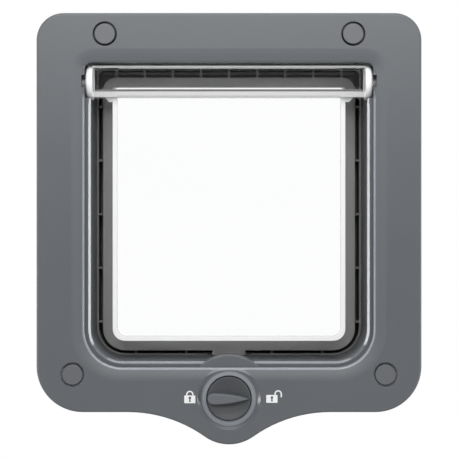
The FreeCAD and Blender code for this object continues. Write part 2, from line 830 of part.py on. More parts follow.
def inner_frame():
    """Room-side moulding: plate, recess, tunnel, hinge sockets, screw towers and lock housing."""
    pockets = hinge_pockets()
    added, removed = [tunnelled_shell(pockets)], list(pockets)
    for more, less in (screw_towers(), lock_housing(), hinge_sockets()):
        added += more
        removed += less
    for name, side in SIDES.items():
        added += [stiffener(name, side, level) for level in (-1, 0, 1)]
    return cut("inner_frame", fused("frame_walls", added), removed)


def collar_outline(name, y, outward):
    """The outline of the collar that meets the tunnel's end, drawn out by its wall."""
    corner = dim.passage_corner + dim.ring_width + dim.collar_gap
    return rounded(
        free_sketch(name, y), COLLAR_HALF + outward, -COLLAR_BOTTOM - outward,
        COLLAR_TOP + outward, corner + outward, dim.recess_top_corner + outward,
    )


def passage_outline(name, y, outward):
    """The outline of the passage, drawn out."""
    return rounded(
        free_sketch(name, y), PASSAGE_HALF + outward, -PASSAGE_TOP - outward,
        PASSAGE_TOP + outward, dim.passage_corner + outward, dim.passage_top_corner + outward,
    )


def flange():
    """The outside plate, hollow on its door side round the collar."""
    body = new_body("flange")
    back = dim.door_thickness
    outline = rounded(
        body_sketch(body, "flange_sketch", offset=-back), FLANGE_HALF, -FLANGE_BOTTOM,
        FLANGE_TOP, dim.flange_corner, dim.flange_corner,
    )
    slab = feature(body, "Pad", "flange_slab", outline, dim.flange_depth, reverse=True)
    dress(body, "Fillet", "flange_edge", slab, on_face(FLANGE_BACK), dim.flange_round)
    corner = dim.flange_corner - dim.flange_wall
    inside = rounded(
        free_sketch("flange_hollow_sketch", back - dim.overlap), FLANGE_HALF - dim.flange_wall,
        dim.flange_wall - FLANGE_BOTTOM, FLANGE_TOP - dim.flange_wall, corner, corner,
    )
    core = extrusion(
        "flange_core", collar_outline("flange_core_sketch", back - dim.overlap * 2, dim.collar_wall),
        dim.flange_depth + dim.overlap * 3,
    )
    block = extrusion("flange_inside", inside, dim.flange_depth - dim.flange_wall + dim.overlap)
    return cut("flange_shell", body, [cut("flange_hollow", block, [core])])


def channel_ribs(depth):
    """The ribs between liner and collar, seen as rows of dark cells round the passage."""
    half = dim.rib_thickness / 2
    wall_height = RING_TOP + dim.collar_gap
    ribs = [box(
        "top_channel_wall", (-RING_HALF, RING_HALF), depth,
        (wall_height - half, wall_height + half),
    )]
    for i in range(-4, 5):
        middle = dim.top_rib_pitch * i
        ribs.append(box(
            f"top_rib_{i + 5}", (middle - half, middle + half), depth,
            (PASSAGE_TOP + dim.overlap, COLLAR_TOP + dim.overlap),
        ))
    for name, side in SIDES.items():
        across = span(side, PASSAGE_HALF + dim.overlap, COLLAR_HALF + dim.overlap)
        for i in range(-2, 3):
            middle = dim.side_rib_pitch * i
            ribs.append(box(
                f"side_rib_{name}_{i + 3}", across, depth, (middle - half, middle + half),
            ))
        for i, place in enumerate((dim.bottom_rib_inner, dim.bottom_rib_outer), 1):
            ribs.append(box(
                f"bottom_rib_{name}_{i}", span(side, place - half, place + half), depth,
                (-COLLAR_BOTTOM - dim.overlap, -PASSAGE_TOP - dim.overlap),
            ))
    return ribs


def outer_frame():
    """Outside moulding: flange, collar, ribbed channel, passage liner with its front ring."""
    collar_front = dim.tunnel_reach + dim.collar_joint
    floor = FLANGE_BACK - dim.flange_wall
    block = extrusion(
        "collar_block", collar_outline("collar_sketch", collar_front, dim.collar_wall),
        FLANGE_BACK - dim.overlap - collar_front,
    )
    channel = extrusion(
        "channel", collar_outline("channel_sketch", collar_front - dim.overlap, 0),
        floor - collar_front + dim.overlap,
    )
    tube = cut("collar", fused("collar_on_flange", [flange(), block]), [channel])
    liner = loft(
        "liner", passage_outline("liner_start", RING_FRONT, dim.liner_wall),
        passage_outline("liner_end", FLANGE_BACK - dim.overlap, dim.liner_wall + dim.liner_draft),
    )
    ring = extrusion(
        "ring", passage_outline("ring_sketch", RING_FRONT, dim.ring_width), dim.ring_thickness,
    )
    rib_depth = (collar_front + dim.rib_thickness, FLANGE_BACK - dim.overlap)
    tab = box(
        "tab", (-dim.tab_width / 2, dim.tab_width / 2),
        (RING_FRONT, RING_FRONT + dim.ring_thickness + dim.tab_notch_depth),
        (-COLLAR_BOTTOM - dim.collar_wall / 2, dim.overlap - RING_TOP),
    )
    added = [tube, liner, ring, tab] + channel_ribs(rib_depth)
    removed = [box(
        "collar_notch", (-dim.tab_notch_width / 2, dim.tab_notch_width / 2),
        (collar_front - dim.overlap, collar_front + dim.tab_notch_depth),
        (-COLLAR_BOTTOM - dim.collar_wall - dim.overlap, dim.tab_notch_height - COLLAR_BOTTOM),
    )]
    bore_end = dim.screw_length - dim.head_seat + dim.screw_end_room
    for i, place in enumerate(SCREW_PLACES, 1):
        added.append(rod(
            f"screw_boss_{i}", dim.boss_radius,
            (dim.door_thickness + dim.boss_set_back, FLANGE_BACK - dim.overlap), place,
        ))
        removed.append(rod(
            f"screw_bore_{i}", dim.screw_shank_radius + dim.screw_fit,
            (dim.door_thickness, bore_end), place,
        ))
    past = dim.liner_draft * dim.overlap / (FLANGE_BACK - RING_FRONT)
    removed.append(loft(
        "opening", passage_outline("opening_start", RING_FRONT - dim.overlap, -past),
        passage_outline("opening_end", FLANGE_BACK + dim.overlap, dim.liner_draft + past),
    ))
    return cut("outer_frame", fused("outer_walls", added), removed)


def flap_panel():
    """The clear panel: a slab thinned on both sides inside its rim."""
    body = new_body("flap_panel")
    rim = dim.rim_thickness / 2
    top = WEB_TOP - dim.overlap
    top_corner = dim.flap_thickness / 4
    outline = rounded(
        body_sketch(body, "flap_sketch", offset=-(dim.flap_set_back + rim)), FLAP_HALF,
        -FLAP_BOTTOM, top, dim.flap_corner, top_corner,
    )
    feature(body, "Pad", "flap_slab", outline, dim.rim_thickness)
    for name, face, reverse in (
        ("front", dim.flap_set_back - rim, False), ("back", dim.flap_set_back + rim, True),
    ):
        sketch = rounded(
            body_sketch(body, f"flap_{name}_sketch", offset=-face), FLAP_HALF - dim.rim_width,
            dim.rim_width - FLAP_BOTTOM, top + dim.flap_corner,
            dim.flap_corner - dim.rim_width, top_corner,
        )
        feature(
            body, "Pocket", f"flap_{name}_pocket", sketch,
            (dim.rim_thickness - dim.flap_thickness) / 2, reverse=reverse,
        )
    return body


def hinge_bar():
    """The channel-shaped bar over the panel, open to the front: web, back wall and crest."""
    across = (dim.end_disc - BAR_HALF - dim.overlap, BAR_HALF - dim.end_disc + dim.overlap)
    crest = HINGE_HEIGHT + dim.bar_crest
    walls = fused("bar_walls", [
        box("web", across, (-dim.web_front, dim.bar_back),
            (WEB_TOP - dim.web_thickness, WEB_TOP)),
        box("bar_back_wall", across, (dim.bar_back - dim.bar_wall, dim.bar_back),
            (WEB_TOP - dim.web_thickness, crest)),
        box("bar_crest_wall", across, (-dim.bar_front, dim.bar_back), (crest - dim.bar_wall, crest)),
    ])
    return common("bar", axle("bar_round", dim.bar_radius, across, HINGE_AXIS), walls)


def bar_end(name, side):
    """The round disc and the pin at one end of the hinge bar."""
    disc = axle(
        f"end_disc_{name}", dim.bar_radius, span(side, BAR_HALF - dim.end_disc, BAR_HALF),
        HINGE_AXIS,
    )
    outer = float(BAR_HALF) * side
    rounding = trimmed(
        "Fillet", f"end_round_{name}", disc,
        lambda e: all(abs(v.Point.x - outer) < 0.01 for v in e.Vertexes), dim.end_disc_round,
    )
    pin = axle(
        f"pin_{name}", dim.pin_radius,
        span(side, BAR_HALF - dim.overlap, BAR_HALF + dim.pin_length), HINGE_AXIS,
    )
    return [rounding, pin]


def gusset(name, side):
    """The shoulder where the web reaches past the panel's side."""
    near = FLAP_HALF - dim.overlap
    far = FLAP_HALF + dim.gusset_width
    web_bottom = WEB_TOP - dim.web_thickness
    front = dim.flap_set_back - dim.flap_thickness / 2
    outline = polygon(free_sketch(f"gusset_{name}_sketch", front), [
        (side * near, WEB_TOP - dim.overlap),
        (side * far, WEB_TOP - dim.overlap),
        (side * far, web_bottom),
        (side * (FLAP_HALF + dim.gusset_width / 2), web_bottom - dim.gusset_drop),
        (side * near, web_bottom - dim.gusset_drop),
    ])
    return extrusion(f"gusset_{name}", outline, dim.flap_thickness)


def flap():
    """One clear moulding: panel with rim, channel-shaped hinge bar, end discs and pins."""
    pieces = [flap_panel(), hinge_bar()]
    for name, side in SIDES.items():
        pieces += bar_end(name, side) + [gusset(name, side)]
    return fused("flap", pieces)


def frame_screw(number, place):
    head, radius = dim.screw_head_height, dim.screw_head_radius
    shank, length = dim.screw_shank_radius, dim.screw_length
    return turned(f"frame_screw_{number}", [
        (-head, 0), (-head, radius - dim.screw_head_dome), (-dim.screw_head_edge, radius),
        (0, radius), (0, shank), (length - shank, shank), (length, dim.screw_tip), (length, 0),
    ], (place[0], -dim.head_seat, place[1]))


def screw_cap(number, place):
    head, radius = dim.cap_head, dim.cap_radius
    skirt, depth = dim.cap_skirt_radius, dim.cap_head + dim.cap_skirt
    inside = skirt - dim.cap_skirt_wall
    return turned(f"screw_cap_{number}", [
        (0, 0), (0, radius), (head, radius), (head, skirt), (depth, skirt), (depth, inside),
        (dim.cap_head_wall, inside), (dim.cap_head_wall, 0),
    ], (place[0], FACE, place[1]), dim.cap_round)


def cover_screw(number, place):
    head, shank = dim.cover_screw_head, dim.small_screw_radius
    length = dim.cover_screw_length
    return turned(f"cover_screw_{number}", [
        (0, 0), (0, head), (shank - head, shank), (shank - length, shank),
        (-length, dim.small_screw_tip), (-length, 0),
    ], (place[0], COVER_BACK, place[1]))


def knob_washer():
    thick, radius = dim.washer_thickness, dim.washer_radius
    return turned("knob_washer", [
        (0, SMALL_BORE), (0, radius), (thick, radius), (thick, SMALL_BORE),
    ], (0, DISC_BACK, -KNOB_DROP))


def knob_screw():
    head, radius = dim.knob_screw_head_height, dim.knob_screw_head
    shank, length = dim.small_screw_radius, dim.knob_screw_length
    return turned("knob_screw", [
        (head, 0), (head, radius - dim.knob_screw_dome), (head / 2, radius), (0, radius),
        (0, shank), (-length, shank), (-length, 0),
    ], (0, KNOB_SCREW_SEAT, -KNOB_DROP))


def lock_cover():
    """Rear cover of the lock with two rails that guide the bolt."""
    depth = (COVER_FRONT, COVER_BACK)
    below = KNOB_DROP + dim.cover_radius
    pieces = [
        box("cover_plate", (-COVER_HALF, COVER_HALF), depth, (-COVER_BOTTOM, -COVER_TOP)),
        common(
            "cover_round", rod("cover_disc", dim.cover_radius, depth, KNOB_AXIS),
            box("cover_limits", (-COVER_HALF, COVER_HALF), depth, (-below, -COVER_TOP)),
        ),
    ]
    rail = dim.bolt_width / 2 + dim.slot_clearance
    for name, side in SIDES.items():
        pieces.append(box(
            f"rail_{name}", span(side, rail, rail + dim.rail_width), (BOLT_FRONT, COVER_BACK),
            (dim.follower_low - KNOB_DROP, -COVER_TOP),
        ))
    holes = []
    sink_depth = dim.cover_screw_head - dim.small_screw_radius + dim.small_fit
    for i, (x, z) in enumerate(COVER_SCREW_PLACES, 1):
        holes.append(rod(
            f"cover_hole_{i}", SMALL_BORE, (COVER_FRONT - dim.overlap, COVER_BACK + dim.overlap),
            (x, z),
        ))
        sink = doc.addObject("Part::Cone", f"countersink_{i}")
        bind(sink, "Radius1", SMALL_BORE)
        bind(sink, "Radius2", SMALL_BORE + sink_depth)
        bind(sink, "Height", sink_depth)
        start = COVER_BACK - sink_depth + dim.small_fit / 2
        holes.append(put(sink, (x, start, z), ALONG_Y))
    return cut("lock_cover", fused("cover_with_rails", pieces), holes)


def spiral_groove():
    """The cam groove: its middle moves out evenly with the turn, so the lift is even too."""
    half = float(dim.follower_radius + dim.groove_clearance)
    low, travel = float(dim.follower_low), float(BOLT_TRAVEL)
    steps = 24
    inner, outer, middle = [], [], []
    for i in range(steps + 1):
        turn = math.pi * i / steps
        radius = low + travel * i / steps
        out = Vector(math.sin(turn), 0, math.cos(turn))
        along = Vector(math.cos(turn), 0, -math.sin(turn)) * radius + out * (travel / math.pi)
        side = along.normalize().cross(Vector(0, 1, 0))
        middle.append((out * radius, along))
        inner.append(out * radius + side * half)
        outer.append(out * radius - side * half)
    edges = []
    for points in (inner, outer):
        curve = Part.BSplineCurve()
        curve.interpolate(points)
        edges.append(curve.toShape())
    for (centre, along), ends, way in (
        (middle[0], (inner[0], outer[0]), -half), (middle[-1], (inner[-1], outer[-1]), half),
    ):
        edges.append(Part.Arc(ends[0], centre + along * way, ends[1]).toShape())
    face = Part.Face(Part.Wire(Part.__sortEdges__(edges)))
    groove = doc.addObject("Part::Feature", "spiral_groove")
    face.translate(Vector(0, float(DISC_BACK - dim.groove_depth), 0))
    groove.Shape = face.extrude(Vector(0, float(dim.groove_depth + dim.overlap), 0))
    return put(groove, (0, 0, -KNOB_DROP))


def cam_disc():
    """The disc that the knob turns, with its groove and the square hole for the drive."""
    disc = rod("disc", dim.disc_radius, (-dim.disc_front, DISC_BACK), KNOB_AXIS)
    half = dim.drive_square / 2 + dim.small_fit
    drive = box(
        "drive_hole", (-half, half), (-dim.disc_front - dim.overlap, DISC_BACK + dim.overlap),
        (-KNOB_DROP - half, half - KNOB_DROP),
    )
    return cut("cam_disc", disc, [drive, spiral_groove()])


def lock_bolt():
    """Sliding bolt: plate with a follower pin, and a fork that straddles the flap's rim."""
    half = dim.bolt_width / 2
    follower = dim.follower_low - KNOB_DROP
    foot = follower - dim.follower_radius - dim.follower_wall
    seat = -BOLT_TOP - dim.prong_length
    fork = (seat - dim.bridge, -BOLT_TOP)
    plate_back = BOLT_FRONT + dim.bolt_thickness
    front_back = FLAP_BACK - dim.rim_thickness - dim.fork_clearance
    back_face = FORK_BACK_PRONG + dim.bolt_thickness
    plate = box("bolt_plate", (-half, half), (BOLT_FRONT, plate_back), (foot, -BOLT_TOP))
    front = box("front_prong", (-half, half), (BOLT_FRONT, front_back), fork)
    back = box("back_prong", (-half, half), (FORK_BACK_PRONG, back_face), fork)
    bridge = box("fork_bridge", (-half, half), (BOLT_FRONT, back_face), (fork[0], seat))
    pin_front = DISC_BACK - dim.groove_depth + dim.groove_clearance
    pin_back = BOLT_FRONT + dim.bolt_thickness / 2
    pin = rod("follower", dim.follower_radius, (pin_front, pin_back), (0, follower))
    return fused("lock_bolt", [plate, front, back, bridge, pin])


def ridge_outline(sketch):
    """Teardrop that lies to the right: a round wide end and two even flanks to a point."""
    half = dim.ridge_width / 2
    centre = half - dim.knob_radius
    tip = dim.knob_radius - dim.ridge_tip_gap
    h, c, x = float(half), float(centre), float(tip)
    flank = ((x - c) * (x - c) + h * h) / (2 * h)
    lean = math.degrees(math.asin((x - c) / flank))
    sketch.addGeometry([
        arc(c, 0, h, 90, 270),
        arc(c, flank - h, flank, 270, 270 + lean),
        arc(c, h - flank, flank, 90 - lean, 90),
    ])
    sketch.addConstraint(Sketcher.Constraint("Tangent", 0, END, 1, START))
    sketch.addConstraint(Sketcher.Constraint("Coincident", 1, END, 2, START))
    sketch.addConstraint(Sketcher.Constraint("Tangent", 2, END, 0, START))
    sketch.addConstraint(Sketcher.Constraint("Equal", 1, 2))
    constrain(sketch, "round_end", "Radius", 0, half)
    constrain(sketch, "round_x", "DistanceX", *ORIGIN, 0, CENTRE, centre)
    constrain(sketch, "round_z", "DistanceY", *ORIGIN, 0, CENTRE, 0)
    constrain(sketch, "upper_x", "DistanceX", *ORIGIN, 0, START, centre)
    constrain(sketch, "point_x", "DistanceX", *ORIGIN, 1, END, tip)
    constrain(sketch, "point_z", "DistanceY", *ORIGIN, 1, END, 0)


def knob_ridge():
    """The ridge that the fingers hold, a little narrower at its crest."""
    body = new_body("ridge")
    root = FACE_BACK - dim.overlap
    sketch = body_sketch(body, "ridge_sketch", offset=-root)
    ridge_outline(sketch)
    crest = FACE - dim.ridge_proud
    pad = feature(body, "Pad", "ridge_pad", sketch, root - crest)
    bind(pad, "TaperAngle", -dim.ridge_draft_angle)
    dress(body, "Fillet", "ridge_round", pad, on_face(crest), dim.knob_rim)
    return put(body, (0, 0, -KNOB_DROP))


def lock_knob():
    """Turning knob: scooped drum, teardrop ridge, hub and square drive."""
    front = FACE - dim.knob_proud
    drum = rod("drum", dim.knob_radius, (front, FACE_BACK), KNOB_AXIS)
    rim = dim.knob_radius - dim.knob_rim
    scoop = doc.addObject("Part::Sphere", "scoop")
    reach = (rim * rim + dim.knob_dish * dim.knob_dish) / (dim.knob_dish * 2)
    bind(scoop, "Radius", reach)
    put(scoop, (0, front + dim.knob_dish - reach, -KNOB_DROP))
    dished = cut("dished_drum", drum, [scoop])
    hub_back = -dim.disc_front
    square = dim.drive_square / 2
    hub = rod("hub", dim.hub_radius, (FACE_BACK - dim.overlap, hub_back), KNOB_AXIS)
    drive = box(
        "drive", (-square, square), (hub_back - dim.overlap, DISC_BACK - dim.small_fit),
        (-KNOB_DROP - square, square - KNOB_DROP),
    )
    bore_front = KNOB_SCREW_SEAT - dim.knob_screw_length - dim.screw_end_room
    bore = rod("knob_screw_bore", SMALL_BORE, (bore_front, 0), KNOB_AXIS)
    solid = fused("knob_solid", [dished, knob_ridge(), hub, drive])
    return cut("lock_knob", solid, [bore])


nodes = [inner_frame(), outer_frame(), flap(), lock_cover(), cam_disc(), lock_bolt(), lock_knob()]
for number, place in enumerate(SCREW_PLACES, 1):
    nodes.append(frame_screw(number, place))
    nodes.append(screw_cap(number, place))
for number, place in enumerate(COVER_SCREW_PLACES, 1):
    nodes.append(cover_screw(number, place))
nodes += [knob_washer(), knob_screw()]

doc.recompute()
failed = [thing.Name for thing in doc.Objects if {"Invalid", "Error"} & set(thing.State)]
if failed:
    raise SystemExit(f"failed objects: {failed}")
os.makedirs("parts", exist_ok=True)
for node in nodes:
    shape = node.Shape
    if shape.isNull() or not shape.isValid() or len(shape.Solids) != 1:
        raise SystemExit(f"{node.Label}: bad shape, {len(shape.Solids)} solids")
    shape.exportStep(f"parts/{node.Label}.step")
    size = shape.BoundBox
    print(f"{node.Label}: {shape.Volume:.0f} mm3, x {size.XMin:.1f}..{size.XMax:.1f}, "
          f"y {size.YMin:.1f}..{size.YMax:.1f}, z {size.ZMin:.1f}..{size.ZMax:.1f}")
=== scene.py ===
import json
import math

import bmesh
import bpy
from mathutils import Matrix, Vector


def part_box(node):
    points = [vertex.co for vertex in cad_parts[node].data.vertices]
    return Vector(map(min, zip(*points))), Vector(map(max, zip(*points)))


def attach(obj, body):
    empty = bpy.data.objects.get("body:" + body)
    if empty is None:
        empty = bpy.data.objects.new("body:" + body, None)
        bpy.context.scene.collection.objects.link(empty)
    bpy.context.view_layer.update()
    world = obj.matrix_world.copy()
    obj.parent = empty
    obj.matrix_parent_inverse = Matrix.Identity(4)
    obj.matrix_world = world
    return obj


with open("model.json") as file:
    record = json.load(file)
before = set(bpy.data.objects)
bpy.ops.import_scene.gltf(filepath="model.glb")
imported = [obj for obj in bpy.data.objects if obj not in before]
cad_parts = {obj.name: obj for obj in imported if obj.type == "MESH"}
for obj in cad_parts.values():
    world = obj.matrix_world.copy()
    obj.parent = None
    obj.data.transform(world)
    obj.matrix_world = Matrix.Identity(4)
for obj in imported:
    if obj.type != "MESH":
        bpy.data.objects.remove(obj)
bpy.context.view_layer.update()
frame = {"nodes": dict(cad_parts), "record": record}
MM = 0.001

# Materials


def new_material(name):
    made = bpy.data.materials.new(name)
    made.use_nodes = True
    tree = made.node_tree
    return made, tree, tree.nodes["Principled BSDF"]


def noise(tree, coords, size, detail=2.0, rough=0.5):
    """A noise whose lumps are about size metres across."""
    node = tree.nodes.new("ShaderNodeTexNoise")
    node.inputs["Scale"].default_value = 1.0 / size
    node.inputs["Detail"].default_value = detail
    node.inputs["Roughness"].default_value = rough
    tree.links.new(coords, node.inputs["Vector"])
    return node.outputs["Fac"]


def ramp(tree, value, start, end, low, high):
    """A value's range start..end mapped to low..high."""
    node = tree.nodes.new("ShaderNodeMapRange")
    for name, number in (("From Min", start), ("From Max", end), ("To Min", low), ("To Max", high)):
        node.inputs[name].default_value = number
    tree.links.new(value, node.inputs["Value"])
    return node.outputs["Result"]


def spread(tree, value, low, high):
    """Maps a noise's middle range to low..high."""
    return ramp(tree, value, 0.3, 0.7, low, high)


def rising(tree, value, at, blur):
    """0 below a place and 1 above it, in metres, over a short blur."""
    return ramp(tree, value, at - blur / 2, at + blur / 2, 0.0, 1.0)


def mixed(tree, value, low, high):
    """A colour between low, where the value is 0, and high, where it is 1."""
    node = tree.nodes.new("ShaderNodeMix")
    node.data_type = "RGBA"
    tree.links.new(value, node.inputs["Factor"])
    node.inputs["A"].default_value = (*low, 1)
    node.inputs["B"].default_value = (*high, 1)
    return node.outputs["Result"]


def toned(tree, share, colour, other):
    """A linked colour that turns to another where share is 1."""
    node = tree.nodes.new("ShaderNodeMix")
    node.data_type = "RGBA"
    tree.links.new(share, node.inputs["Factor"])
    tree.links.new(colour, node.inputs["A"])
    node.inputs["B"].default_value = (*other, 1)
    return node.outputs["Result"]


def chosen(tree, share, low, high):
    """low where share is 0 and high where it is 1."""
    node = tree.nodes.new("ShaderNodeMix")
    tree.links.new(share, node.inputs["Factor"])
    for name, value in (("A", low), ("B", high)):
        if isinstance(value, float):
            node.inputs[name].default_value = value
        else:
            tree.links.new(value, node.inputs[name])
    return node.outputs["Result"]


def combined(tree, operation, first, second=None):
    """The value that an operation of the Math node makes of one value or two."""
    node = tree.nodes.new("ShaderNodeMath")
    node.operation = operation
    for socket, value in zip(node.inputs, (first, second)):
        if isinstance(value, (int, float)):
            socket.default_value = value
        elif value is not None:
            tree.links.new(value, socket)
    return node.outputs["Value"]


def falling(tree, value, at, blur):
    """1 below a place and 0 above it."""
    return combined(tree, "SUBTRACT", 1.0, rising(tree, value, at, blur))


def both(tree, first, *others):
    """The share of a place that lies in every one of these zones."""
    for other in others:
        first = combined(tree, "MULTIPLY", first, other)
    return first


def within_band(tree, value, low, high, blur):
    """1 between two places and 0 outside them."""
    return both(tree, rising(tree, value, low, blur), falling(tree, value, high, blur))


def length(tree, sideways, upward):
    """The length of a line with these two parts."""
    square = combined(tree, "ADD", combined(tree, "MULTIPLY", sideways, sideways),
                      combined(tree, "MULTIPLY", upward, upward))
    return combined(tree, "SQRT", square)


def split_axes(tree, coords):
    split = tree.nodes.new("ShaderNodeSeparateXYZ")
    tree.links.new(coords, split.inputs["Vector"])
    return [split.outputs[axis] for axis in "XYZ"]


def grey(level):
    return (level, level, level)


def shade(srgb):
    """An 8-bit sRGB colour as linear values."""
    shares = [v / 255 for v in srgb]
    return tuple(v / 12.92 if v <= 0.04045 else ((v + 0.055) / 1.055) ** 2.4 for v in shares)


# Zones of the frames, caps and knob, in metres along the part's axes. Each gives 1 inside and 0
# outside. The caps, the knob and its dish are even about the middle.

ROLL_Y = (-0.01195, -0.0107)
LIP_Y = (-0.0108, -0.0090)
MOUTH_EDGE_Y = (-0.00545, -0.0040)
# Height below which the lip and the tunnel mouth's edge carry a painted highlight.
HIGHLIGHT_TOP_Z = 0.072
HIGHLIGHT_BLUR = 0.004
CELLS_Y = (0.0246, 0.0440)
CELLS_Z = (0.0823, 0.0908)
CELL_PITCH = 0.00895
RIB_HALF = 0.0009
CHANNEL_LINE_Y = (0.0230, 0.0262)
CHANNEL_LINE_Z = (0.0853, 0.0864)
TOP_CAP = (0.0761, 0.1101)
LOW_CAP = (0.0959, -0.0987)
CAP_GAP_RADII = (0.0060, 0.0076)
CAP_GAP_FRONT_Y = -0.0117
CAP_EDGE_RADIUS = 0.0061
KNOB_AXIS = (0.0, -0.1133)
DISH_SLOPE_RADII = (0.0168, 0.0196)
KNOB_FACE_Y = -0.0132


def painted_cell_shade(tree, x, y, z):
    """Painted shade in the hollow behind the ring's upper edge, leaving out the ribs that divide it."""
    from_rib = combined(tree, "PINGPONG", x, CELL_PITCH)
    return both(tree, within_band(tree, y, *CELLS_Y, 0.0004), within_band(tree, z, *CELLS_Z, 0.0003),
                rising(tree, from_rib, RIB_HALF, 0.0003))


def painted_channel_highlight(tree, x, y, z):
    """Painted highlight: a faintly paler line in the channel above the ring, seen at its upper corners.
    """
    return both(tree, within_band(tree, z, *CHANNEL_LINE_Z, 0.0002),
                within_band(tree, y, *CHANNEL_LINE_Y, 0.0002))


def roll(tree, x, y, z):
    """The rolled border round the recess."""
    return within_band(tree, y, *ROLL_Y, 0.0001)


def lip(tree, x, y, z):
    """The polished edge where the roll drops into the recess."""
    return within_band(tree, y, *LIP_Y, 0.0002)


def mouth_edge(tree, x, y, z):
    """The polished edge of the tunnel's mouth."""
    return within_band(tree, y, *MOUTH_EDGE_Y, 0.0001)


def painted_lip_highlight(tree, x, y, z):
    """Painted highlight that makes the lip paler at the sides and foot."""
    return both(tree, lip(tree, x, y, z), falling(tree, z, HIGHLIGHT_TOP_Z, HIGHLIGHT_BLUR))


# Painted highlight that makes the tunnel mouth's edge paler at the sides and foot.
def painted_mouth_highlight(tree, x, y, z):
    return both(tree, mouth_edge(tree, x, y, z), falling(tree, z, HIGHLIGHT_TOP_Z, HIGHLIGHT_BLUR))


def distance(tree, x, z, place):
    """How far a point is from a place or its mirror image, whichever is nearer."""
    across, height = place
    sideways = combined(tree, "SUBTRACT", combined(tree, "ABSOLUTE", x), across)
    return length(tree, sideways, combined(tree, "SUBTRACT", z, height))


def cap_distance(tree, x, z):
    """How far a point is from the nearest screw cap's axis."""
    return combined(tree, "MINIMUM", distance(tree, x, z, TOP_CAP), distance(tree, x, z, LOW_CAP))


def dish_slope(tree, x, y, z):
    """The steep border of the dish round the knob."""
    return within_band(tree, distance(tree, x, z, KNOB_AXIS), *DISH_SLOPE_RADII, 0.0002)


def cap_gap(tree, x, y, z):
    """The shadowed groove round each screw cap."""
    near = within_band(tree, cap_distance(tree, x, z), *CAP_GAP_RADII, 0.0001)
    return both(tree, near, rising(tree, y, CAP_GAP_FRONT_Y, 0.0002))


def cap_edge_shade(tree, x, y, z):
    """Painted shade on the rounded edge of each screw cap."""
    return rising(tree, cap_distance(tree, x, z), CAP_EDGE_RADIUS, 0.0003)


def knob_face_shade(tree, x, y, z):
    """Painted shade on the knob's scooped face, below its ridge."""
    return rising(tree, y, KNOB_FACE_Y, 0.0004)


def moulded_plastic(name, colour, roughness, grain=0.35, grain_depth=0.003, tones=(), glosses=()):
    """Moulded plastic: spark-eroded grain, a soft mottle of colour and a little unevenness of gloss.

    tones and glosses name zones, each with its factor of the colour or its own roughness. grain
    is the size of the grain's lumps and grain_depth their height, in mm."""
    made, tree, shader = new_material(name)
    coords = tree.nodes.new("ShaderNodeTexCoord").outputs["Object"]
    mottle, unevenness = 0.012, 0.015
    broad = spread(tree, noise(tree, coords, 45 * MM, 1), 0, 1)
    low = [c * (1 - mottle) for c in colour]
    high = [c * (1 + mottle) for c in colour]
    tone = mixed(tree, broad, low, high)
    gloss = spread(tree, noise(tree, coords, 30 * MM, 1), roughness - unevenness, roughness + unevenness)
    axes = split_axes(tree, coords)
    for zone, factor in tones:
        tone = toned(tree, zone(tree, *axes), tone, [c * factor for c in colour])
    for zone, value in glosses:
        gloss = chosen(tree, zone(tree, *axes), gloss, value)
    tree.links.new(tone, shader.inputs["Base Color"])
    tree.links.new(gloss, shader.inputs["Roughness"])
    bump = tree.nodes.new("ShaderNodeBump")
    bump.inputs["Strength"].default_value = 1.0
    bump.inputs["Distance"].default_value = grain_depth * MM
    tree.links.new(noise(tree, coords, grain * MM, 2, 0.6), bump.inputs["Height"])
    tree.links.new(bump.outputs["Normal"], shader.inputs["Normal"])
    return made


# The clear flap's own places, in metres: its thin panel, and the channel of the hinge bar.

PANEL_HALF = 0.0692
PANEL_FOOT_Z = -0.0758
PANEL_CORNER = 0.0056
PANEL_TOP_Z = 0.0722
BAR_HALF = 0.0836
END_DISC_X = 0.0838
BAR_FRONT_Y = -0.0043
WEB_TOP_Z = 0.0756
CREST_Z = 0.0901
CREST_BACK_Y = -0.002
CORNER_Y = 0.0045
CORNER_Z = (0.0763, 0.0776)
LOWER_EDGE_Z = (0.0716, 0.0728)
LOWER_EDGE_HALF = 0.0690
CLEAR_IOR = 1.49
CLEAR_BLUR = 0.0003


def outside_panel(tree, across, z):
    """1 outside the flap's thin panel, whose lower corners are rounded."""
    past_side = combined(tree, "SUBTRACT", across, PANEL_HALF - PANEL_CORNER)
    past_foot = combined(tree, "SUBTRACT", PANEL_FOOT_Z + PANEL_CORNER, z)
    sideways = combined(tree, "MAXIMUM", past_side, 0.0)
    below = combined(tree, "MAXIMUM", past_foot, 0.0)
    return rising(tree, length(tree, sideways, below), PANEL_CORNER, CLEAR_BLUR)


def clear_tone(tree, coords):
    """Almost colourless, with the faintest streaks."""
    streaks = spread(tree, noise(tree, coords, 60 * MM, 1), 0, 1)
    return mixed(tree, streaks, (0.982, 0.988, 0.988), (0.99, 0.994, 0.994))


